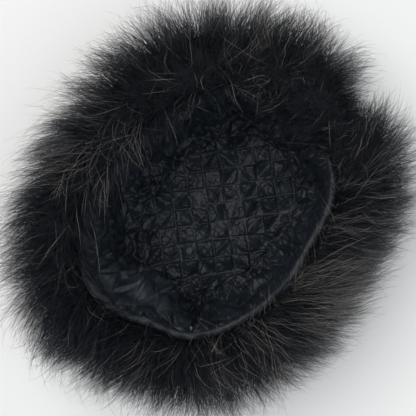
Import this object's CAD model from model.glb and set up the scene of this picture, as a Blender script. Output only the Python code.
import math
from collections import namedtuple

import bpy
import numpy as np
from mathutils import Matrix, Vector, kdtree


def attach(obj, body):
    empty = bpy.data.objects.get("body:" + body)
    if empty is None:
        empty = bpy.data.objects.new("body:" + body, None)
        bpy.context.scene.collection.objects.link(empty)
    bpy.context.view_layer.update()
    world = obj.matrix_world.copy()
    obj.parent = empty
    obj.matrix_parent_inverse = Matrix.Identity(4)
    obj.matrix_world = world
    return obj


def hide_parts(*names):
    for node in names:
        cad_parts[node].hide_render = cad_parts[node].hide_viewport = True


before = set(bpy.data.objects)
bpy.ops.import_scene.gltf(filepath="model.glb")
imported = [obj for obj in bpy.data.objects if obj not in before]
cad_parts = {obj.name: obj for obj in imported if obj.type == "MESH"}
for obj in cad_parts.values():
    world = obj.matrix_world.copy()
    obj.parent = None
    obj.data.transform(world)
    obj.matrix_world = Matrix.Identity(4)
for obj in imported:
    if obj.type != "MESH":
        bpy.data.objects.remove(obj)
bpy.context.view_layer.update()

# The lining of the crown
# Black satin quilted over thin wadding, stitched by machine in squares and cut to the oval of the
# crown. It is simulated flat: the stitches hold it down, and the full satin between them puckers.

OPENING_LENGTH = 0.202
OPENING_WIDTH = 0.157
OVAL_POWER = 2.2
PELT_TOP = 0.016
STITCH_GAP = 0.0003
LINING_THICKNESS = 0.004
LINING_BASE = PELT_TOP + STITCH_GAP
TIP_TOP = LINING_BASE + LINING_THICKNESS
HOLLOW_DEPTH = 0.105
RIM_HEIGHT = TIP_TOP + HOLLOW_DEPTH
BINDING_WIDTH = 0.007
BINDING_HEIGHT = 0.010
WALL_TOP = RIM_HEIGHT - BINDING_HEIGHT - STITCH_GAP
CROWN_TAPER = 0.003
BOWL_REACH = 0.026
BOWL_HEIGHT = 0.050
LINING_INNER_OUT = BINDING_WIDTH - LINING_THICKNESS

QUILT_CELL = 0.015
QUILT_STEPS = 10
QUILT_TURN = math.radians(53)
QUILT_FULLNESS = 0.05
QUILT_PRESSURE = 8.0
QUILT_FRAMES = 14
QUILT_PUFF_LIMIT = 0.0026
FOLDS = 6
STITCH_HALF = 0.075
STITCHES_PER_SIDE = 5

Dent = namedtuple("Dent", "angle spread depth")
RIM_DENTS = [
    Dent(angle=-71, spread=12, depth=0.045),
    Dent(angle=-106, spread=13, depth=-0.022),
    Dent(angle=28, spread=18, depth=0.030),
]


def nearness(angle, centre, spread):
    """A smooth bump about an angle in degrees: 1 at its centre, falling away over its spread."""
    off = (np.degrees(angle) - centre + 180) % 360 - 180
    return np.exp(-((off / spread) ** 2))


def oval_radius(angle, out):
    """How far the opening's oval, moved outwards, lies from the middle at each angle."""
    across = np.abs(np.cos(angle) / (OPENING_WIDTH / 2 + out)) ** OVAL_POWER
    along = np.abs(np.sin(angle) / (OPENING_LENGTH / 2 + out)) ** OVAL_POWER
    dents = sum(d.depth * nearness(angle, d.angle, d.spread) for d in RIM_DENTS)
    return (across + along) ** (-1 / OVAL_POWER) - dents * OPENING_WIDTH


def oval(angle, out, height):
    """Points on the oval at these angles, moved outwards, at this height."""
    radius = oval_radius(angle, out)
    return np.stack([radius * np.cos(angle), radius * np.sin(angle), height + 0 * radius], -1)


def taper(height):
    """How far the hat is narrower than its opening at this height above the floor."""
    return CROWN_TAPER * np.clip(1 - (height - LINING_BASE) / (WALL_TOP - LINING_BASE), 0, 1)


def smooth_noise(points, scale, seed):
    """Soft random waves from -1 to 1, made of a few sines that run in seeded directions."""
    chance = np.random.default_rng(seed)
    total = np.zeros(len(points))
    for _ in range(9):
        run = chance.normal(size=points.shape[1])
        run *= 2 * math.pi / scale * chance.uniform(0.6, 1.7) / np.linalg.norm(run)
        total += np.sin(points @ run + chance.uniform(0, 2 * math.pi))
    return total / 4.5


def mesh_object(name, points, faces):
    """A new object of the hat from its points and faces, smooth shaded."""
    data = bpy.data.meshes.new(name)
    data.from_pydata(points.tolist(), [], faces)
    data.shade_smooth()
    made = bpy.data.objects.new(name, data)
    bpy.context.scene.collection.objects.link(made)
    return made


def select_only(thing):
    bpy.ops.object.select_all(action="DESELECT")
    thing.select_set(True)
    bpy.context.view_layer.objects.active = thing


def grid_faces(columns, rows):
    """The quads of a grid of points that is stored row by row."""
    return [
        (r * columns + c, r * columns + c + 1, (r + 1) * columns + c + 1, (r + 1) * columns + c)
        for r in range(rows - 1)
        for c in range(columns - 1)
    ]


def finer(grid, factor):
    """A grid of values made finer by linear steps between its rows and its columns."""
    for axis in (0, 1):
        count = grid.shape[axis]
        place = np.linspace(0, count - 1, round((count - 1) * factor) + 1)
        low = np.minimum(place.astype(int), count - 2)
        share = (place - low).reshape([-1 if k == axis else 1 for k in range(grid.ndim)])
        grid = np.take(grid, low, axis) * (1 - share) + np.take(grid, low + 1, axis) * share
    return grid


def gathered_cells(along, across, cell, rise, fold_depth, seed):
    """The pillow of each stitched cell, folded into flat facets by the gathers at its corners.

    Also gives how close each point is to a stitch of the lines between the cells, from 0 to 1.
    """
    column, row = np.floor(along / cell).astype(int), np.floor(across / cell).astype(int)
    x, y = 2 * (along / cell - column) - 1, 2 * (across / cell - row) - 1
    column, row = column - column.min(), row - row.min()
    size = (column.max() + 1, row.max() + 1)
    chance = np.random.default_rng(seed)
    peak_x, peak_y = chance.uniform(-0.5, 0.5, (2, *size))[:, column, row]
    sides = [(1 + x) / (1 + peak_x), (1 - x) / (1 - peak_x), (1 + y) / (1 + peak_y), (1 - y) / (1 - peak_y)]
    height = rise * chance.uniform(0.4, 1.3, size)[column, row] * np.min(sides, axis=0)
    hemmed = (1 - np.abs(x) ** 10) * (1 - np.abs(y) ** 10)
    for number in range(FOLDS):
        corner_x, corner_y = chance.choice([-1, 1], (2, *size))
        aim = np.arctan2(-corner_y, -corner_x) + chance.normal(0, 0.38, size)
        depth = fold_depth * chance.uniform(0.2, 1.0, size) * chance.choice([-0.8, 1], size)
        across_fold = (x - corner_x[column, row]) * np.sin(aim)[column, row]
        across_fold -= (y - corner_y[column, row]) * np.cos(aim)[column, row]
        height += depth[column, row] * (np.abs(across_fold) - 0.35) * hemmed
    to_line = 1 - np.maximum(np.abs(x), np.abs(y))
    along_line = np.where(np.abs(x) > np.abs(y), y, x)
    thread = 0.5 + 0.5 * np.cos(math.pi * STITCHES_PER_SIDE * along_line)
    return height, np.exp(-((to_line / STITCH_HALF) ** 2)) * np.minimum(1, 2.2 * thread)


def puckered(name, flat, faces, held):
    """Simulates flat cloth that is fuller than its stitching, and gives how far each point moves.

    held is 1 at each point that a stitch holds. The wadding presses the cloth up from behind.
    """
    chance = np.random.default_rng(len(flat))
    start = flat.copy()
    start[:, 2] += (1 - held) * (0.0004 + 0.0005 * chance.uniform(size=len(flat)))
    cloth_object = mesh_object(name, start, faces)
    group = cloth_object.vertex_groups.new(name="stitches")
    group.add(np.nonzero(held > 0.5)[0].tolist(), 1.0, "REPLACE")
    cloth = cloth_object.modifiers.new("satin", "CLOTH")
    settings = cloth.settings
    settings.quality = 4
    settings.mass = 0.15
    settings.tension_stiffness = settings.compression_stiffness = 12
    settings.shear_stiffness = 4
    settings.bending_stiffness = 0.3
    settings.tension_damping = settings.compression_damping = 12
    settings.air_damping = 4
    settings.shrink_min = -QUILT_FULLNESS
    settings.use_pressure = True
    settings.uniform_pressure_force = QUILT_PRESSURE
    settings.vertex_group_mass = "stitches"
    settings.pin_stiffness = 2
    settings.effector_weights.gravity = 0
    cloth.collision_settings.use_collision = False
    cloth.point_cache.frame_end = QUILT_FRAMES
    for number in range(1, QUILT_FRAMES + 1):
        bpy.context.scene.frame_set(number)
    graph = bpy.context.evaluated_depsgraph_get()
    settled = cloth_object.evaluated_get(graph).to_mesh()
    points = np.empty(len(flat) * 3, np.float32)
    settled.vertices.foreach_get("co", points)
    points = points.reshape(-1, 3).astype(float)
    bpy.data.objects.remove(cloth_object, do_unlink=True)
    bpy.context.scene.frame_set(1)
    shift = points - flat
    most = np.linalg.norm(shift[:, :2], axis=1, keepdims=True)
    shift[:, :2] *= np.minimum(1, 0.0012 / np.maximum(most, 1e-9))
    shift[:, 2] = QUILT_PUFF_LIMIT * np.tanh(shift[:, 2] / QUILT_PUFF_LIMIT)
    return shift


THREAD_COLOUR = (0.027, 0.033, 0.041)


def store_stitches(thing, values):
    """Stores how close each point of a piece is to a stitch, for its material."""
    thing.data.attributes.new("stitch", "FLOAT", "POINT").data.foreach_set("value", values)


def satin_material(name, dark, light, roughness, weave_scale, coarse):
    """Black satin: warp threads with a soft gloss, faint cross threads and uneven dye."""
    material = bpy.data.materials.new(name)
    material.use_nodes = True
    nodes, links = material.node_tree.nodes, material.node_tree.links
    shader = nodes["Principled BSDF"]
    place = nodes.new("ShaderNodeTexCoord")
    threads = nodes.new("ShaderNodeMapping")
    threads.inputs["Scale"].default_value = (weave_scale, weave_scale * 0.12, weave_scale)
    links.new(place.outputs["Object"], threads.inputs["Vector"])
    weave = nodes.new("ShaderNodeTexNoise")
    weave.inputs["Scale"].default_value = 1.0
    weave.inputs["Detail"].default_value = 3.0
    links.new(threads.outputs["Vector"], weave.inputs["Vector"])
    dye = nodes.new("ShaderNodeTexNoise")
    dye.inputs["Scale"].default_value = coarse
    dye.inputs["Detail"].default_value = 5.0
    links.new(place.outputs["Object"], dye.inputs["Vector"])
    colour = nodes.new("ShaderNodeValToRGB")
    colour.color_ramp.elements[0].position = 0.35
    colour.color_ramp.elements[0].color = (*dark, 1)
    colour.color_ramp.elements[1].position = 0.68
    colour.color_ramp.elements[1].color = (*light, 1)
    links.new(dye.outputs["Fac"], colour.inputs["Fac"])
    stitch = nodes.new("ShaderNodeAttribute")
    stitch.attribute_name = "stitch"
    sewn = nodes.new("ShaderNodeMix")
    sewn.data_type = "RGBA"
    sewn.inputs["B"].default_value = (*THREAD_COLOUR, 1)
    links.new(stitch.outputs["Fac"], sewn.inputs["Factor"])
    links.new(colour.outputs["Color"], sewn.inputs["A"])
    links.new(sewn.outputs["Result"], shader.inputs["Base Color"])
    gloss = nodes.new("ShaderNodeMapRange")
    gloss.inputs["To Min"].default_value = roughness - 0.07
    gloss.inputs["To Max"].default_value = roughness + 0.09
    links.new(weave.outputs["Fac"], gloss.inputs["Value"])
    links.new(gloss.outputs["Result"], shader.inputs["Roughness"])
    relief = nodes.new("ShaderNodeBump")
    relief.inputs["Strength"].default_value = 0.25
    relief.inputs["Distance"].default_value = 0.0002
    links.new(weave.outputs["Fac"], relief.inputs["Height"])
    links.new(relief.outputs["Normal"], shader.inputs["Normal"])
    shader.inputs["Sheen Weight"].default_value = 0.008
    shader.inputs["Sheen Roughness"].default_value = 0.4
    shader.inputs["Sheen Tint"].default_value = (0.62, 0.74, 0.90, 1)
    shader.inputs["Specular IOR Level"].default_value = 0.22
    return material


LINING_DARK = (0.0080, 0.0108, 0.0145)
LINING_LIGHT = (0.0170, 0.0215, 0.0285)
lining_satin = satin_material("lining satin", LINING_DARK, LINING_LIGHT, 0.42, 2600, 60)

TIP_CELLS = 13
TIP_FINER = 2
TIP_TUCK = 0.0008
TIP_RISE = 0.0009
TIP_FOLD = 0.0024
tip_count = TIP_CELLS * QUILT_STEPS + 1
tip_line = (np.arange(tip_count) / QUILT_STEPS - TIP_CELLS / 2) * QUILT_CELL
tip_flat = np.stack([*np.meshgrid(tip_line, tip_line), np.zeros((tip_count, tip_count))], -1)
tip_column, tip_row = np.meshgrid(np.arange(tip_count), np.arange(tip_count))
tip_held = ((tip_column % QUILT_STEPS == 0) | (tip_row % QUILT_STEPS == 0)).astype(float)
tip_shift = puckered(
    "tip_cloth", tip_flat.reshape(-1, 3), grid_faces(tip_count, tip_count), tip_held.ravel()
)
tip_shift = finer(tip_shift.reshape(tip_flat.shape), TIP_FINER)
tip_flat = finer(tip_flat, TIP_FINER)
tip_count = len(tip_flat)
tip_flat, tip_shift = tip_flat.reshape(-1, 3), tip_shift.reshape(-1, 3)
tip_origin = TIP_CELLS / 2 * QUILT_CELL
tip_rise, tip_stitch = gathered_cells(
    tip_flat[:, 0] + tip_origin, tip_flat[:, 1] + tip_origin, QUILT_CELL, TIP_RISE, TIP_FOLD, 17
)
tip_shift[:, 2] += tip_rise
tip_points = tip_flat + tip_shift

tip_x = tip_points[:, 0] * math.cos(QUILT_TURN) - tip_points[:, 1] * math.sin(QUILT_TURN)
tip_y = tip_points[:, 0] * math.sin(QUILT_TURN) + tip_points[:, 1] * math.cos(QUILT_TURN)
tip_angle = np.arctan2(tip_y, tip_x)
tip_edge = oval_radius(tip_angle, LINING_INNER_OUT - CROWN_TAPER - BOWL_REACH + TIP_TUCK)
tip_radius = np.hypot(tip_x, tip_y)
tip_inside = tip_radius < tip_edge
tip_share = np.minimum(tip_radius / tip_edge, 1)
tip_waves = smooth_noise(np.stack([tip_x, tip_y], -1), 0.075, 3)
tip_height = TIP_TOP + tip_points[:, 2] + 0.0015 * tip_waves * (1 - tip_share**4)
tip_place = np.stack(
    [tip_share * tip_edge * np.cos(tip_angle), tip_share * tip_edge * np.sin(tip_angle), tip_height], -1
)
tip_faces = [f for f in grid_faces(tip_count, tip_count) if tip_inside[list(f)].any()]
used = np.unique(np.array(tip_faces))
renumber = np.full(len(tip_place), -1)
renumber[used] = np.arange(len(used))
tip_faces = [tuple(renumber[list(f)].tolist()) for f in tip_faces]

tip = mesh_object("lining_tip_quilt", tip_place[used], tip_faces)
store_stitches(tip, tip_stitch[used])
select_only(tip)
bpy.ops.object.mode_set(mode="EDIT")
bpy.ops.mesh.select_all(action="SELECT")
bpy.ops.mesh.normals_make_consistent(inside=False)
bpy.ops.mesh.select_mode(type="EDGE")
bpy.ops.mesh.select_all(action="DESELECT")
bpy.ops.mesh.select_non_manifold(extend=False, use_wire=False, use_multi_face=False,
                                 use_non_contiguous=False, use_verts=False)
bpy.ops.mesh.extrude_edges_move(TRANSFORM_OT_translate={"value": (0, 0, -LINING_THICKNESS)})
bpy.ops.transform.resize(value=(1, 1, 0), center_override=(0, 0, LINING_BASE))
bpy.ops.mesh.edge_face_add()
bpy.ops.mesh.select_all(action="SELECT")
bpy.ops.mesh.normals_make_consistent(inside=False)
bpy.ops.object.mode_set(mode="OBJECT")
tip.data.materials.append(lining_satin)
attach(tip, "root")
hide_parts("lining_tip")

# The wall of the lining
# The same quilted satin, cut on the bias so that its stitching makes diamonds, closed by one seam
# at the side and sewn to the crown below and the binding above. It is loose, and sags inwards.

SEAM_ANGLE = math.radians(-53.5)
DIAMONDS_ROUND = 28
DIAMONDS_UP = 5
DIAMOND_STEPS = 12
WALL_FINER = 1.7
BOWL_ARC = math.pi / 2 * math.hypot(BOWL_REACH, BOWL_HEIGHT) / math.sqrt(2)
WALL_STRIP = BOWL_ARC + WALL_TOP - TIP_TOP - BOWL_HEIGHT
BOWL_SHARE = BOWL_ARC / WALL_STRIP
CRUMPLE = 0.0022
WALL_RISE = 0.0022
WALL_FOLD = 0.0028
SEAM_LAP = 0.0022
SEAM_GROOVE = 0.0040
SEAM_GROOVE_HALF = 0.0015
RUMPLE = 0.0042
DART_ANGLE = math.radians(-42.5)

Fold = namedtuple("Fold", "angle spread height height_spread depth")
LINING_FOLDS = [
    Fold(angle=-88, spread=24, height=0.63, height_spread=0.34, depth=0.210),
    Fold(angle=-128, spread=15, height=0.64, height_spread=0.30, depth=0.055),
    Fold(angle=-38, spread=10, height=0.70, height_spread=0.25, depth=0.040),
    Fold(angle=75, spread=18, height=0.45, height_spread=0.35, depth=0.050),
    Fold(angle=165, spread=24, height=0.50, height_spread=0.35, depth=0.045),
]


def lining_sag(angle, share):
    """How far the loose lining leans into the hollow. It is held at the crown and at the rim."""
    held = np.clip(4 * share, 0, 1) ** 2 * np.clip(5 * (1 - share), 0, 1)
    depth = sum(
        f.depth * nearness(angle, f.angle, f.spread)
        * np.exp(-(((share - f.height) / f.height_spread) ** 2))
        for f in LINING_FOLDS
    )
    return held * depth * OPENING_WIDTH


def lining_place(angle, share):
    """A point on the wall lining's inner face, before its quilting rises from it."""
    turn = math.pi / 2 * np.clip(share / BOWL_SHARE, 0, 1)
    out = LINING_INNER_OUT - BOWL_REACH * (1 - np.sin(turn)) - lining_sag(angle, share)
    height = TIP_TOP + BOWL_HEIGHT * (1 - np.cos(turn))
    height += WALL_STRIP * np.clip(share - BOWL_SHARE, 0, None)
    return oval(angle, out - taper(height), height)


def lining_facing(angle, share):
    """The direction that the wall lining faces, into the hollow."""
    step = 0.002
    round_way = lining_place(angle + step, share) - lining_place(angle - step, share)
    up_way = lining_place(angle, share + step) - lining_place(angle, share - step)
    facing = np.cross(up_way, round_way)
    return facing / np.linalg.norm(facing, axis=1, keepdims=True)


round_angles = np.linspace(0, 2 * math.pi, 2001)
round_points = oval(SEAM_ANGLE + round_angles, 0, 0)
round_length = np.concatenate([[0], np.cumsum(np.linalg.norm(np.diff(round_points, axis=0), axis=1))])
wall_length = round_length[-1]
wall_columns = DIAMONDS_ROUND * DIAMOND_STEPS
wall_rows = DIAMONDS_UP * DIAMOND_STEPS + 1
wall_s, wall_t = np.meshgrid(
    np.linspace(0, wall_length, wall_columns + 1), np.linspace(0, WALL_STRIP, wall_rows)
)
wall_flat = np.stack([wall_s, wall_t, 0 * wall_s], -1).reshape(-1, 3)
wall_i, wall_j = np.meshgrid(np.arange(wall_columns + 1), np.arange(wall_rows))
wall_on_line = ((wall_i + wall_j) % DIAMOND_STEPS == 0) | ((wall_i - wall_j) % DIAMOND_STEPS == 0)
wall_edge = (wall_i % wall_columns == 0) | (wall_j % (wall_rows - 1) == 0)
wall_held = (wall_on_line | wall_edge).ravel().astype(float)
wall_shift = puckered(
    "wall_cloth", wall_flat, grid_faces(wall_columns + 1, wall_rows), wall_held
)
wall_shape = (wall_rows, wall_columns + 1, 3)
wall_flat = finer(wall_flat.reshape(wall_shape), WALL_FINER)
wall_shift = finer(wall_shift.reshape(wall_shape), WALL_FINER)
wall_rows, wall_columns = wall_flat.shape[0], wall_flat.shape[1] - 1
wall_flat = wall_flat[:, :-1].reshape(-1, 3)
wall_shift = wall_shift[:, :-1].reshape(-1, 3)
diamond = np.array([wall_length / DIAMONDS_ROUND, WALL_STRIP / DIAMONDS_UP])
bias = wall_flat[:, :2] / diamond
wall_rise, wall_stitch = gathered_cells(
    bias[:, 0] + bias[:, 1], bias[:, 0] - bias[:, 1], 1, WALL_RISE, WALL_FOLD, 23
)
past_seam = wall_flat[:, 0]
before_seam = wall_length - past_seam
wall_shift[:, 2] += wall_rise + SEAM_LAP * (np.exp(-past_seam / 0.006) - 0.4 * np.exp(-before_seam / 0.003))
to_seam = np.minimum(past_seam, before_seam)
wall_shift[:, 2] -= SEAM_GROOVE * np.exp(-((to_seam / SEAM_GROOVE_HALF) ** 2))
dart_at = np.interp(DART_ANGLE - SEAM_ANGLE, round_angles, round_length)
dart_width = 0.0035 * np.clip((wall_flat[:, 1] / WALL_STRIP - 0.70) / 0.22, 0.001, 1)
wall_shift[:, 2] -= 0.0045 * np.exp(-(((past_seam - dart_at) / dart_width) ** 2))
wall_settled = wall_flat + wall_shift
wall_angle = SEAM_ANGLE + np.interp(wall_settled[:, 0], round_length, round_angles)
wall_share = np.clip(wall_settled[:, 1] / WALL_STRIP, 0, 1)
wall_face = lining_place(wall_angle, wall_share)
slack = (0.35 + nearness(wall_angle, -88, 30)) * np.clip(6 * wall_share * (1 - wall_share), 0, 1)
crumple = CRUMPLE * slack * smooth_noise(wall_settled[:, :2], 0.030, 11)
creased = nearness(wall_angle, 170, 55) + 0.6 * nearness(wall_angle, 20, 50) + 0.5 * nearness(wall_angle, -88, 30)
creased *= np.clip(6 * wall_share * (1 - wall_share), 0, 1)
crumple += RUMPLE * creased * (np.abs(smooth_noise(wall_settled[:, :2], 0.034, 12)) - 0.4)
wall_face += lining_facing(wall_angle, wall_share) * (wall_settled[:, 2] + crumple)[:, None]

BACK_ROWS = 8
back_share = np.repeat(np.linspace(1, 0, BACK_ROWS), wall_columns)
back_angle = SEAM_ANGLE + np.interp(
    np.tile(np.linspace(0, wall_length, wall_columns + 1)[:-1], BACK_ROWS), round_length, round_angles
)
back_face = lining_place(back_angle, back_share)
back_face -= lining_facing(back_angle, np.clip(back_share, 0.003, 0.997)) * LINING_THICKNESS
wall_place = np.concatenate([wall_face, back_face])
wall_total = wall_rows + BACK_ROWS
wall_faces = [
    (
        r * wall_columns + c,
        ((r + 1) % wall_total) * wall_columns + c,
        ((r + 1) % wall_total) * wall_columns + (c + 1) % wall_columns,
        r * wall_columns + (c + 1) % wall_columns,
    )
    for r in range(wall_total)
    for c in range(wall_columns)
]
wall = mesh_object("lining_wall_quilt", wall_place, wall_faces)
store_stitches(wall, np.concatenate([wall_stitch, np.zeros(len(back_face))]))
select_only(wall)
bpy.ops.object.mode_set(mode="EDIT")
bpy.ops.mesh.select_all(action="SELECT")
bpy.ops.mesh.normals_make_consistent(inside=False)
bpy.ops.object.mode_set(mode="OBJECT")
wall.data.materials.append(lining_satin)
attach(wall, "root")
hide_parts("lining_wall")

TACK_LENGTH = 0.0042
TACK_THREAD = 0.0007
tack_share = np.array([0.935])
tack_at = lining_place(np.array([SEAM_ANGLE]), tack_share)[0]
tack_at += 0.0032 * lining_facing(np.array([SEAM_ANGLE]), tack_share)[0]
bpy.ops.object.select_all(action="DESELECT")
tack_threads = []
for offset in (-1, 0, 1):
    bpy.ops.mesh.primitive_uv_sphere_add(segments=10, ring_count=8, radius=0.5)
    thread = bpy.context.active_object
    thread.data.transform(
        Matrix.Translation(tack_at + np.array([0, 0, 0.0002 * offset]))
        @ Matrix.Rotation(SEAM_ANGLE, 4, "Z")
        @ Matrix.Rotation(math.radians(35 + 7 * offset), 4, "Y")
        @ Matrix.Translation((0, 0.8 * TACK_THREAD * offset, 0))
        @ Matrix.Diagonal((TACK_LENGTH, TACK_THREAD, TACK_THREAD, 1))
    )
    tack_threads.append(thread)
for thread in tack_threads:
    thread.select_set(True)
bpy.ops.object.join()
tack = bpy.context.active_object
tack.name = tack.data.name = "seam_tack"
bpy.ops.object.shade_smooth()
tack_thread = satin_material("tack thread", (0.16, 0.17, 0.18), (0.30, 0.31, 0.32), 0.5, 5200, 900)
tack.data.materials.append(tack_thread)
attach(tack, "root")

# The binding round the opening
# A strip of plain satin, folded over the top of the lining and stitched down: smooth where it is
# stretched round the side, gathered in small ripples where the opening is slack.

BINDING_COLUMNS = 420
BINDING_POINTS = 18
binding_column, binding_point = np.meshgrid(np.arange(BINDING_COLUMNS), np.arange(BINDING_POINTS))
binding_angle = (2 * math.pi * binding_column / BINDING_COLUMNS).ravel()
binding_turn = (2 * math.pi * (binding_point + 0.5) / BINDING_POINTS).ravel()
across = np.sign(np.cos(binding_turn)) * np.abs(np.cos(binding_turn)) ** 0.6
above = np.sign(np.sin(binding_turn)) * np.abs(np.sin(binding_turn)) ** 0.6
slackness = 0.35 + nearness(binding_angle, -105, 42) + 0.4 * nearness(binding_angle, 150, 60)
ripple_at = np.stack([110 * np.cos(binding_angle), 110 * np.sin(binding_angle), 5 * across, 5 * above], -1)
ripple = smooth_noise(ripple_at, 14, 5) + 0.6 * smooth_noise(ripple_at, 6, 6)
binding_out = BINDING_WIDTH / 2 * (1 + 0.96 * across) + 0.0011 * slackness * ripple * (across < 0.3)
binding_place = oval(binding_angle, binding_out, 0)
sway = smooth_noise(ripple_at[:, :2], 30, 8) * slackness
binding_place[:, 2] = RIM_HEIGHT + BINDING_HEIGHT / 2 * (above - 1) + 0.0009 * sway * (above > 0)
binding_place[:, 2] += 0.0010 * slackness * ripple * (above > 0)
binding_faces = [
    (
        r * BINDING_COLUMNS + c,
        r * BINDING_COLUMNS + (c + 1) % BINDING_COLUMNS,
        ((r + 1) % BINDING_POINTS) * BINDING_COLUMNS + (c + 1) % BINDING_COLUMNS,
        ((r + 1) % BINDING_POINTS) * BINDING_COLUMNS + c,
    )
    for r in range(BINDING_POINTS)
    for c in range(BINDING_COLUMNS)
]
binding = mesh_object("binding_roll", binding_place, binding_faces)
select_only(binding)
bpy.ops.object.mode_set(mode="EDIT")
bpy.ops.mesh.select_all(action="SELECT")
bpy.ops.mesh.normals_make_consistent(inside=False)
bpy.ops.object.mode_set(mode="OBJECT")
binding_satin = satin_material("binding satin", (0.009, 0.0115, 0.015), (0.024, 0.029, 0.036), 0.46, 3200, 160)
binding.data.materials.append(binding_satin)
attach(binding, "root")
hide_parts("rim_binding")

# The undercoat of the fur
# The thick short wool under the guard hairs, grown on a pelt that is sewn into the band and the
# crown. It is the CAD's locks, softened and matted, and shows only as the dark between the hairs.


def fur_material(name, dark, middle, light, rough):
    """Hair, darker at the root; its tone is stored on each hair."""
    material = bpy.data.materials.new(name)
    material.use_nodes = True
    nodes, links = material.node_tree.nodes, material.node_tree.links
    shader = nodes["Principled BSDF"]
    tone = nodes.new("ShaderNodeAttribute")
    tone.attribute_name = "tone"
    colour = nodes.new("ShaderNodeValToRGB")
    colour.color_ramp.elements[0].color = (*dark, 1)
    colour.color_ramp.elements[1].color = (*light, 1)
    colour.color_ramp.elements.new(0.14).color = (*middle, 1)
    links.new(tone.outputs["Fac"], colour.inputs["Fac"])
    links.new(colour.outputs["Color"], shader.inputs["Base Color"])
    shader.inputs["Roughness"].default_value = rough
    shader.inputs["Specular IOR Level"].default_value = 0.30
    shader.inputs["Specular Tint"].default_value = (0.66, 0.80, 1.0, 1)
    return material


UNDERCOAT_COLOUR = (0.0026, 0.0030, 0.0044)
undercoat_wool = bpy.data.materials.new("undercoat wool")
undercoat_wool.use_nodes = True
wool_nodes, wool_links = undercoat_wool.node_tree.nodes, undercoat_wool.node_tree.links
wool_shader = wool_nodes["Principled BSDF"]
wool_shader.inputs["Roughness"].default_value = 0.9
wool_shader.inputs["Specular IOR Level"].default_value = 0.15
wool_place = wool_nodes.new("ShaderNodeTexCoord")
wool_noise = wool_nodes.new("ShaderNodeTexNoise")
wool_noise.inputs["Scale"].default_value = 420
wool_noise.inputs["Detail"].default_value = 6
wool_links.new(wool_place.outputs["Object"], wool_noise.inputs["Vector"])
wool_colour = wool_nodes.new("ShaderNodeValToRGB")
wool_colour.color_ramp.elements[0].color = (*UNDERCOAT_COLOUR, 1)
wool_colour.color_ramp.elements[1].color = (0.0120, 0.0130, 0.0165, 1)
wool_links.new(wool_noise.outputs["Fac"], wool_colour.inputs["Fac"])
wool_links.new(wool_colour.outputs["Color"], wool_shader.inputs["Base Color"])
wool_bump = wool_nodes.new("ShaderNodeBump")
wool_bump.inputs["Distance"].default_value = 0.002
wool_links.new(wool_noise.outputs["Fac"], wool_bump.inputs["Height"])
wool_links.new(wool_bump.outputs["Normal"], wool_shader.inputs["Normal"])


BAND_FUR_DEPTH = 0.063
BAND_INNER_OUT = BINDING_WIDTH + STITCH_GAP

Overhang = namedtuple("Overhang", "angle spread reach")
OVERHANGS = [
    Overhang(angle=92, spread=24, reach=0.013),
    Overhang(angle=150, spread=36, reach=0.008),
    Overhang(angle=200, spread=22, reach=0.005),
]
FurRow = namedtuple("FurRow", "out height lip length direction")
FUR_ROWS = [
    FurRow(out=0.00, height=1.014, lip=0.0, length=0.70, direction=66),
    FurRow(out=0.00, height=1.034, lip=1.0, length=0.90, direction=60),
    FurRow(out=0.10, height=1.052, lip=0.5, length=1.20, direction=48),
    FurRow(out=0.32, height=1.050, lip=0.0, length=1.15, direction=30),
    FurRow(out=0.50, height=0.950, lip=0.0, length=1.00, direction=11),
    FurRow(out=0.58, height=0.800, lip=0.0, length=1.00, direction=-4),
    FurRow(out=0.58, height=0.620, lip=0.0, length=1.00, direction=-14),
    FurRow(out=0.52, height=0.450, lip=0.0, length=0.95, direction=-24),
    FurRow(out=0.40, height=0.300, lip=0.0, length=0.90, direction=-30),
    FurRow(out=0.20, height=0.165, lip=0.0, length=0.80, direction=-30),
]
Lobe = namedtuple("Lobe", "angle spread change")
BAND_LOBES = [
    Lobe(angle=152, spread=30, change=0.12),
    Lobe(angle=104, spread=11, change=0.07),
    Lobe(angle=66, spread=9, change=0.07),
    Lobe(angle=254, spread=12, change=0.07),
    Lobe(angle=228, spread=9, change=0.05),
    Lobe(angle=22, spread=12, change=-0.05),
]
SEAM_AT_RIM = 62
SEAM_ON_SIDE = 82
SEAM_SPREAD = 7
SEAM_DEPTH = 0.30

fur_out = np.array([row.out for row in FUR_ROWS])
fur_height = np.array([row.height for row in FUR_ROWS]) * RIM_HEIGHT
fur_direction = np.array([row.direction for row in FUR_ROWS], float)
fur_length = np.array([row.length for row in FUR_ROWS])
fur_lip = np.array([row.lip for row in FUR_ROWS])
fur_reach = np.concatenate(
    [[0], np.cumsum(np.hypot(np.diff(fur_out * BAND_FUR_DEPTH), np.diff(fur_height)))]
)


def seam_hollow(angle, out_share):
    """The hollow in the fur at the band's seam, from 0 to 1, aslant from the rim to the side."""
    side = np.clip(out_share / fur_out.max(), 0, 1)
    centre = SEAM_AT_RIM + (SEAM_ON_SIDE - SEAM_AT_RIM) * side
    return nearness(angle, centre, SEAM_SPREAD)


def fullness(angle, out_share):
    """How deep the fur is at this angle, as a share of its usual depth."""
    lobes = sum(lobe.change * nearness(angle, lobe.angle, lobe.spread) for lobe in BAND_LOBES)
    return 1 + lobes - SEAM_DEPTH * seam_hollow(angle, out_share)


def overhang(angle):
    """How far the undercoat stands over the rim at this angle, inside the band's inner face."""
    return sum(over.reach * nearness(angle, over.angle, over.spread) for over in OVERHANGS)


def fur_root(angle, reach):
    """The point of the undercoat this far round its section, from the binding outwards."""
    out = np.interp(reach, fur_reach, fur_out)
    height = np.interp(reach, fur_reach, fur_height)
    beyond = BAND_FUR_DEPTH * out * fullness(angle, out)
    return oval(angle, BAND_INNER_OUT + beyond - np.interp(reach, fur_reach, fur_lip) * overhang(angle), height)


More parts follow.
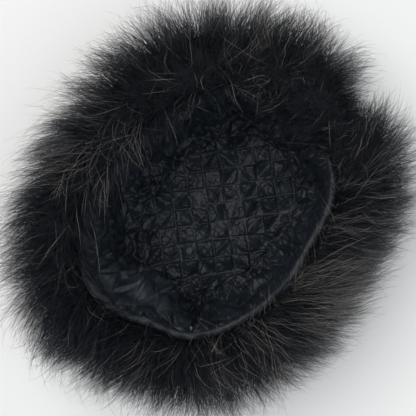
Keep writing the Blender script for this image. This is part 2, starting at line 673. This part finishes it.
WOOL_COLUMNS = 180
WOOL_POINTS = 60
WOOL_BACK = 12
bpy.ops.object.select_all(action="DESELECT")
bpy.ops.mesh.primitive_torus_add(
    major_segments=WOOL_COLUMNS, minor_segments=WOOL_POINTS, major_radius=0.12, minor_radius=0.02
)
band_wool = bpy.context.active_object
band_wool.name = band_wool.data.name = "band_undercoat"
wool_number = np.arange(WOOL_COLUMNS * WOOL_POINTS)
wool_angle = 2 * math.pi * (wool_number // WOOL_POINTS) / WOOL_COLUMNS
wool_point = wool_number % WOOL_POINTS
wool_front = WOOL_POINTS - WOOL_BACK
wool_reach = fur_reach[-1] * np.clip(wool_point / (wool_front - 1), 0, 1)
wool_place = fur_root(wool_angle, wool_reach)
wool_lumps = smooth_noise(wool_place, 0.016, 31) + 0.6 * smooth_noise(wool_place, 0.007, 32)
wool_away = np.stack([np.cos(wool_angle), np.sin(wool_angle), 0 * wool_angle], -1)
wool_swell = np.sin(math.pi * np.clip(wool_point / (wool_front - 1), 0, 1)) ** 0.5
wool_place += wool_away * (0.0022 * wool_lumps * wool_swell)[:, None]
wool_back = np.clip((wool_point - wool_front + 1) / WOOL_BACK, 0, 1)
back_height = LINING_BASE + 0.0005 + (fur_height[0] - LINING_BASE) * wool_back
back_place = oval(wool_angle, BAND_INNER_OUT - taper(back_height) + 0.0002, back_height)
on_back = wool_point >= wool_front
wool_place[on_back] = back_place[on_back]
band_wool.data.vertices.foreach_set("co", wool_place.ravel())
select_only(band_wool)
bpy.ops.object.mode_set(mode="EDIT")
bpy.ops.mesh.select_all(action="SELECT")
bpy.ops.mesh.normals_make_consistent(inside=False)
bpy.ops.object.mode_set(mode="OBJECT")
band_wool.data.shade_smooth()
band_wool.data.materials.append(undercoat_wool)
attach(band_wool, "root")
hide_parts("fur_band")

CROWN_WOOL_RIM = 0.0035
bpy.ops.object.select_all(action="DESELECT")
bpy.ops.mesh.primitive_uv_sphere_add(segments=96, ring_count=16, radius=1)
crown_wool = bpy.context.active_object
crown_wool.name = crown_wool.data.name = "crown_undercoat"
crown_unit = np.empty(len(crown_wool.data.vertices) * 3, np.float32)
crown_wool.data.vertices.foreach_get("co", crown_unit)
crown_unit = crown_unit.reshape(-1, 3).astype(float)
crown_angle = np.arctan2(crown_unit[:, 1], crown_unit[:, 0])
crown_share = np.hypot(crown_unit[:, 0], crown_unit[:, 1])
crown_share = np.sign(crown_share) * np.minimum(1, 1.25 * crown_share)
crown_height = PELT_TOP * (0.5 + 0.5 * np.clip(crown_unit[:, 2] * 1.5, -1, 1))
crown_rim = BAND_INNER_OUT - CROWN_TAPER - 0.012 * (1 - crown_height / PELT_TOP) + CROWN_WOOL_RIM
crown_place = oval(crown_angle, crown_rim, 0) * crown_share[:, None]
crown_place[:, 2] = crown_height
crown_wool.data.vertices.foreach_set("co", crown_place.ravel())
select_only(crown_wool)
bpy.ops.object.mode_set(mode="EDIT")
bpy.ops.mesh.select_all(action="SELECT")
bpy.ops.mesh.normals_make_consistent(inside=False)
bpy.ops.object.mode_set(mode="OBJECT")
crown_wool.data.shade_smooth()
crown_wool.data.materials.append(undercoat_wool)
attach(crown_wool, "root")
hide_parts("fur_crown")

# The guard hairs of the band
# Long straight hairs that stand out of the undercoat in loose locks, nearly black with grey-brown
# ones among them. They lie outwards all round, and fall over the rim at the back and one side.

HAIR_SEED = 21
HAIR_CEILING = 0.152
HAIR_PROUD = 0.007
HAIR_YIELD = 0.17
OVERHANG_LEAN = 66
STRAY_LEAN = 60

Reach = namedtuple("Reach", "angle spread longer proud")
HAIR_REACHES = [
    Reach(angle=205, spread=34, longer=0.24, proud=0.0040),
    Reach(angle=262, spread=34, longer=0.28, proud=0.0034),
    Reach(angle=150, spread=32, longer=0.18, proud=0.0030),
    Reach(angle=86, spread=10, longer=0.15, proud=0.0000),
    Reach(angle=325, spread=26, longer=0.16, proud=0.0035),
    Reach(angle=12, spread=14, longer=0.12, proud=0.0010),
]
Lie = namedtuple("Lie", "angle spread swirl")
FUR_LIES = [
    Lie(angle=18, spread=50, swirl=0.85),
    Lie(angle=190, spread=42, swirl=0.75),
    Lie(angle=235, spread=30, swirl=0.35),
    Lie(angle=292, spread=24, swirl=-0.35),
    Lie(angle=128, spread=26, swirl=-0.30),
]


def hair_mesh(name, spine, thickness, tone):
    """One mesh of three-sided tapering hairs, each along its own line of points, root first."""
    rings, count = len(spine) - 1, spine.shape[1]
    share = np.linspace(0, 1, rings + 1)
    along = spine[-1] - spine[0]
    along /= np.linalg.norm(along, axis=1, keepdims=True)
    side = np.cross(along, np.array([0.3, 0.2, 0.93]))
    side /= np.linalg.norm(side, axis=1, keepdims=True)
    other = np.cross(along, side)
    points = np.empty((count, rings * 3 + 1, 3))
    tones = np.empty((count, rings * 3 + 1))
    for ring in range(rings):
        width = thickness * (1 - share[ring] ** 1.5 * 0.85)
        for corner in range(3):
            turn = 2 * math.pi * corner / 3
            edge = math.cos(turn) * side + math.sin(turn) * other
            points[:, ring * 3 + corner] = spine[ring] + edge * width[:, None]
            tones[:, ring * 3 + corner] = tone * (0.25 + 0.75 * share[ring] ** 0.7)
    points[:, -1] = spine[-1]
    tones[:, -1] = tone
    one = [(0, 2, 1)]
    for ring in range(rings - 1):
        for corner in range(3):
            low, high = ring * 3 + corner, ring * 3 + (corner + 1) % 3
            one += [(low, high, high + 3), (low, high + 3, low + 3)]
    for corner in range(3):
        last = (rings - 1) * 3
        one.append((last + corner, last + (corner + 1) % 3, rings * 3))
    each = rings * 3 + 1
    faces = (np.array(one)[None] + each * np.arange(count)[:, None, None]).reshape(-1, 3)
    data = bpy.data.meshes.new(name)
    data.vertices.add(count * each)
    data.vertices.foreach_set("co", points.reshape(-1).astype(np.float32))
    data.loops.add(len(faces) * 3)
    data.loops.foreach_set("vertex_index", faces.reshape(-1).astype(np.int32))
    data.polygons.add(len(faces))
    data.polygons.foreach_set("loop_start", np.arange(0, len(faces) * 3, 3, dtype=np.int32))
    data.update(calc_edges=True)
    data.attributes.new("tone", "FLOAT", "POINT").data.foreach_set("value", tones.reshape(-1))
    data.shade_smooth()
    made = bpy.data.objects.new(name, data)
    bpy.context.scene.collection.objects.link(made)
    return made


chance = np.random.default_rng(HAIR_SEED)
LOCKS_ROUND = 52
LOCKS_ALONG = 9
lock_angle, lock_reach = np.meshgrid(np.arange(LOCKS_ROUND), np.arange(LOCKS_ALONG))
lock_angle = (lock_angle + 0.5 * (lock_reach % 2)).ravel() + chance.uniform(-0.4, 0.4, LOCKS_ROUND * LOCKS_ALONG)
lock_angle = lock_angle * 2 * math.pi / LOCKS_ROUND
lock_reach = (lock_reach.ravel() + 0.5 + chance.uniform(-0.4, 0.4, len(lock_angle))) / LOCKS_ALONG
lock_reach = np.clip(lock_reach, 0, 1) * fur_reach[-1]
lock_seat = fur_root(lock_angle, lock_reach)
lock_tree = kdtree.KDTree(len(lock_seat))
for number, seat in enumerate(lock_seat):
    lock_tree.insert(seat, number)
lock_tree.balance()
lock_sway = chance.normal(0, 1, (len(lock_seat), 3)).clip(-2, 2)
lock_tone = chance.uniform(0, 1, len(lock_seat))


def band_hairs(piece):
    """The lines of hairs grown all over the band, swirled, wavy and drawn together in locks."""
    count = piece.count
    angle = chance.uniform(0, 2 * math.pi, count)
    reach = fur_reach[-1] * chance.uniform(piece.low, piece.high, count)
    root = fur_root(angle, reach)
    stepped = (fur_root(angle + 0.01, reach) - fur_root(angle - 0.01, reach)) * [1, 1, 0]
    round_way = stepped / np.linalg.norm(stepped, axis=1, keepdims=True)
    up = np.array([0, 0, 1.0])
    away = np.cross(round_way, up)
    near_rim = np.clip(1.5 - reach / (0.17 * fur_reach[-1]), 0, 1)
    over = np.clip(overhang(angle) / OVERHANGS[0].reach, 0, 1) * near_rim
    stray_share = 0.12 + 0.4 * nearness(angle, 195, 40) + 0.45 * nearness(angle, 238, 20)
    stray = STRAY_LEAN * near_rim * (chance.uniform(0, 1, count) < stray_share)
    nearest = np.array([lock_tree.find(point)[1] for point in root])
    sway = lock_sway[nearest]
    loose = piece.spread * chance.normal(0, 1, (3, count))
    climb = np.interp(reach, fur_reach, fur_direction) + OVERHANG_LEAN * over + stray + piece.lean
    climb += 8 * sway[:, 0] + 14 * smooth_noise(root, 0.040, 51) + 24 * loose[0]
    swirl = sum(lie.swirl * nearness(angle, lie.angle, lie.spread) for lie in FUR_LIES)
    swirl = swirl + 0.22 * sway[:, 1] + 0.42 * smooth_noise(root, 0.048, 52) + 0.45 * loose[1]
    curl = 0.35 * sway[:, 2] + 0.40 * smooth_noise(root, 0.024, 53) + 0.45 * loose[2]
    out = np.interp(reach, fur_reach, fur_out)
    full = fullness(angle, out)
    long = piece.length * np.exp(piece.uneven * chance.normal(0, 1, count)).clip(0.4, 1.6) * full
    long *= np.interp(reach, fur_reach, fur_length) * (1 - 0.25 * over)
    long *= 1 - 0.45 * seam_hollow(angle, out)
    long *= 1 + sum(part.longer * nearness(angle, part.angle, part.spread) for part in HAIR_REACHES)
    gather = piece.gather * chance.uniform(0.4, 1.0, count)
    phase, waves = chance.uniform(0, 2 * math.pi, count), chance.uniform(0.6, 1.5, count)
    upright = np.exp(-(((climb - 90) / 28) ** 2))
    falls = (22 + 58 * upright) * np.tanh((climb - 88) / 9)
    spine = [root - away * 0.002]
    for step in range(1, piece.rings + 1):
        share = (step - 0.5) / piece.rings
        rise = np.radians(climb + falls * (share - 0.3))
        turned = swirl * (0.4 + 1.2 * share) + curl * (share - 0.4) * (1 + upright)
        turned += piece.wave * np.sin(phase + 2 * math.pi * waves * share)
        way = away * np.cos(rise)[:, None] + up * np.sin(rise)[:, None] + round_way * turned[:, None]
        way /= np.linalg.norm(way, axis=1, keepdims=True)
        spine.append(spine[-1] + way * (long / piece.rings)[:, None])
    spine = np.array(spine)
    share = (np.arange(piece.rings + 1) / piece.rings)[:, None, None]
    spine[..., 2:] -= piece.droop * share**2 * (long * np.abs(np.cos(np.radians(climb))))[:, None]
    spine += (lock_seat[nearest] - root) * gather[:, None] * share**1.4
    distance = np.hypot(spine[..., 0], spine[..., 1])
    proud = HAIR_PROUD + sum(part.proud * nearness(angle, part.angle, part.spread) for part in HAIR_REACHES)
    most = BAND_INNER_OUT + BAND_FUR_DEPTH * full + proud * chance.uniform(0.2, 1, count)
    most = oval_radius(np.arctan2(spine[..., 1], spine[..., 0]), most)
    kept = np.minimum(1, (most + HAIR_YIELD * (distance - most)) / distance)
    spine[..., :2] *= np.where(distance > most, kept, 1)[..., None]
    ceiling = HAIR_CEILING + 0.008 * chance.uniform(0, 1, count)
    height = spine[..., 2]
    height = np.where(height > ceiling, ceiling + HAIR_YIELD * (height - ceiling), height)
    spine[..., 2] = np.maximum(height, 0.0008 + 0.002 * chance.uniform(0, 1, count))
    return spine, nearest


guard_hair = fur_material(
    "guard hair", (0.0030, 0.0034, 0.0050), (0.036, 0.038, 0.046), (0.50, 0.455, 0.385), 0.45
)

def paleness(angle):
    """How many pale hairs show at each angle: most on the right of the photograph, few behind."""
    return (
        0.75 + 2.7 * nearness(angle, 10, 42) + 1.0 * nearness(angle, 190, 18)
        + 1.0 * nearness(angle, 122, 22) - 0.35 * nearness(angle, 84, 16) - 0.3 * nearness(angle, 250, 30)
    )


HairPiece = namedtuple(
    "HairPiece", "name count length uneven spread gather wave low high thickness rings pale droop lean"
)
HAIR_PIECES = [
    HairPiece("band_wool_tufts", 4000, 0.0180, 0.15, 0.6, 0.25, 0.0, 0.00, 1.00, 0.00032, 3, 0.0, 0.10, 0),
    HairPiece("band_hair_a", 12000, 0.0305, 0.22, 0.45, 0.50, 0.14, 0.00, 0.60, 0.00014, 3, 0.22, 0.12, 0),
    HairPiece("band_hair_b", 11500, 0.0295, 0.22, 0.45, 0.50, 0.14, 0.35, 1.00, 0.00014, 3, 0.20, 0.12, 0),
    HairPiece("band_long_hair", 7100, 0.0365, 0.28, 0.70, 0.38, 0.15, 0.00, 0.95, 0.00012, 5, 0.32, 0.10, 0),
    HairPiece("rim_short_hair", 3000, 0.0125, 0.25, 0.80, 0.00, 0.14, 0.00, 0.07, 0.00014, 3, 0.15, 0.00, 34),
]
for piece in HAIR_PIECES:
    spine, nearest = band_hairs(piece)
    hair_angle = np.arctan2(spine[0, :, 1], spine[0, :, 0])
    shown = paleness(hair_angle)
    brightness = 0.015 + 0.12 * chance.beta(0.8, 2.6, piece.count) * (0.3 + lock_tone[nearest]) * (0.35 + shown)
    pale_share = piece.pale * 0.5 * shown * (0.3 + 1.4 * lock_tone[nearest])
    pale_one = chance.uniform(0, 1, piece.count) < pale_share
    brightness = np.where(pale_one, chance.uniform(0.20, 0.90, piece.count), brightness)
    width = piece.thickness * chance.uniform(0.7, 1.3, piece.count)
    hairs = hair_mesh(piece.name, spine, width, brightness)
    hairs.data.materials.append(guard_hair)
    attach(hairs, "root")

# The hairs of the crown
# The same fur, pressed flat by the hat's weight, so that it splays out over the surface it lies on.

crown_count = 3500
crown_angle = chance.uniform(0, 2 * math.pi, crown_count)
crown_lift = chance.uniform(0.06, 0.95, crown_count) ** 1.3
crown_root = oval(crown_angle, BAND_INNER_OUT - CROWN_TAPER + 0.004 * crown_lift - 0.010 * (1 - crown_lift), PELT_TOP * crown_lift)
crown_away = np.stack([np.cos(crown_angle), np.sin(crown_angle), 0 * crown_angle], -1)
crown_round = np.stack([-np.sin(crown_angle), np.cos(crown_angle), 0 * crown_angle], -1)
crown_long = 0.026 * (1 + 0.25 * chance.normal(0, 1, crown_count)).clip(0.4, 1.5)
crown_way = crown_away + crown_round * (0.15 + 0.4 * chance.normal(0, 1, (crown_count)))[:, None]
crown_way /= np.linalg.norm(crown_way, axis=1, keepdims=True)
crown_tip = crown_root + crown_way * crown_long[:, None]
crown_tip[:, 2] = 0.0008 + 0.010 * chance.uniform(0, 1, crown_count) ** 2
crown_middle = (crown_root + crown_tip) / 2
crown_middle[:, 2] = crown_middle[:, 2] * 0.9 + 0.002
crown_tone = np.clip(chance.beta(0.6, 4, crown_count) * 0.35, 0, 1)
crown_spine = [crown_root, crown_root * 0.45 + crown_middle * 0.55, crown_middle * 0.55 + crown_tip * 0.45, crown_tip]
crown_hairs = hair_mesh("crown_hair", np.array(crown_spine), np.full(crown_count, 0.00012), crown_tone)
crown_hairs.data.materials.append(guard_hair)
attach(crown_hairs, "root")

# The photographer's table, light and camera
# A pale sheet under the hat, one broad soft light above and a weaker one from the side.

bpy.ops.object.select_all(action="DESELECT")
bpy.ops.mesh.primitive_plane_add(size=6, location=(0, 0, 0))
table = bpy.context.active_object
table.name = "pale_table"
paper = bpy.data.materials.new("pale paper")
paper.use_nodes = True
paper.node_tree.nodes["Principled BSDF"].inputs["Base Color"].default_value = (0.90, 0.90, 0.89, 1)
paper.node_tree.nodes["Principled BSDF"].inputs["Roughness"].default_value = 0.7
table.data.materials.append(paper)

sky = bpy.data.worlds.new("pale room")
sky.use_nodes = True
sky.node_tree.nodes["Background"].inputs["Color"].default_value = (0.93, 0.96, 1.0, 1)
sky.node_tree.nodes["Background"].inputs["Strength"].default_value = 0.50
bpy.context.scene.world = sky


def soft_light(name, size, power, place, aim, tint):
    lamp = bpy.data.lights.new(name, "AREA")
    lamp.size = size
    lamp.energy = power
    lamp.color = tint
    holder = bpy.data.objects.new(name, lamp)
    holder.location = place
    holder.rotation_euler = (Vector(aim) - Vector(place)).to_track_quat("-Z", "Y").to_euler()
    bpy.context.scene.collection.objects.link(holder)


soft_light("key", 0.9, 10.5, (-0.42, 0.02, 1.35), (0, 0, 0.1), (1.0, 0.98, 0.95))
soft_light("fill", 0.9, 4, (0.7, 0.2, 1.2), (0, 0, 0.1), (0.92, 0.96, 1.0))

CAMERA_DISTANCE = 0.80
CAMERA_ELEVATION = math.radians(85)
CAMERA_AZIMUTH = math.radians(38)
VIEW_WIDTH = 0.319
look_at = Vector((-0.0017, 0.0027, RIM_HEIGHT))
backwards = Vector((
    math.cos(CAMERA_ELEVATION) * math.cos(CAMERA_AZIMUTH),
    math.cos(CAMERA_ELEVATION) * math.sin(CAMERA_AZIMUTH),
    math.sin(CAMERA_ELEVATION),
))
right = Vector((1, 1, 0))
right = (right - backwards * right.dot(backwards)).normalized()
above_view = backwards.cross(right)
lens = bpy.data.cameras.new("camera")
lens.sensor_width = 36
lens.lens = 36 * CAMERA_DISTANCE / VIEW_WIDTH
camera = bpy.data.objects.new("camera", lens)
stand = look_at + backwards * CAMERA_DISTANCE
turn = Matrix((right, above_view, backwards)).transposed().to_4x4()
camera.matrix_world = Matrix.Translation(stand) @ turn
bpy.context.scene.collection.objects.link(camera)
bpy.context.scene.camera = camera
bpy.context.scene.view_settings.view_transform = "Standard"

bpy.context.view_layer.update()
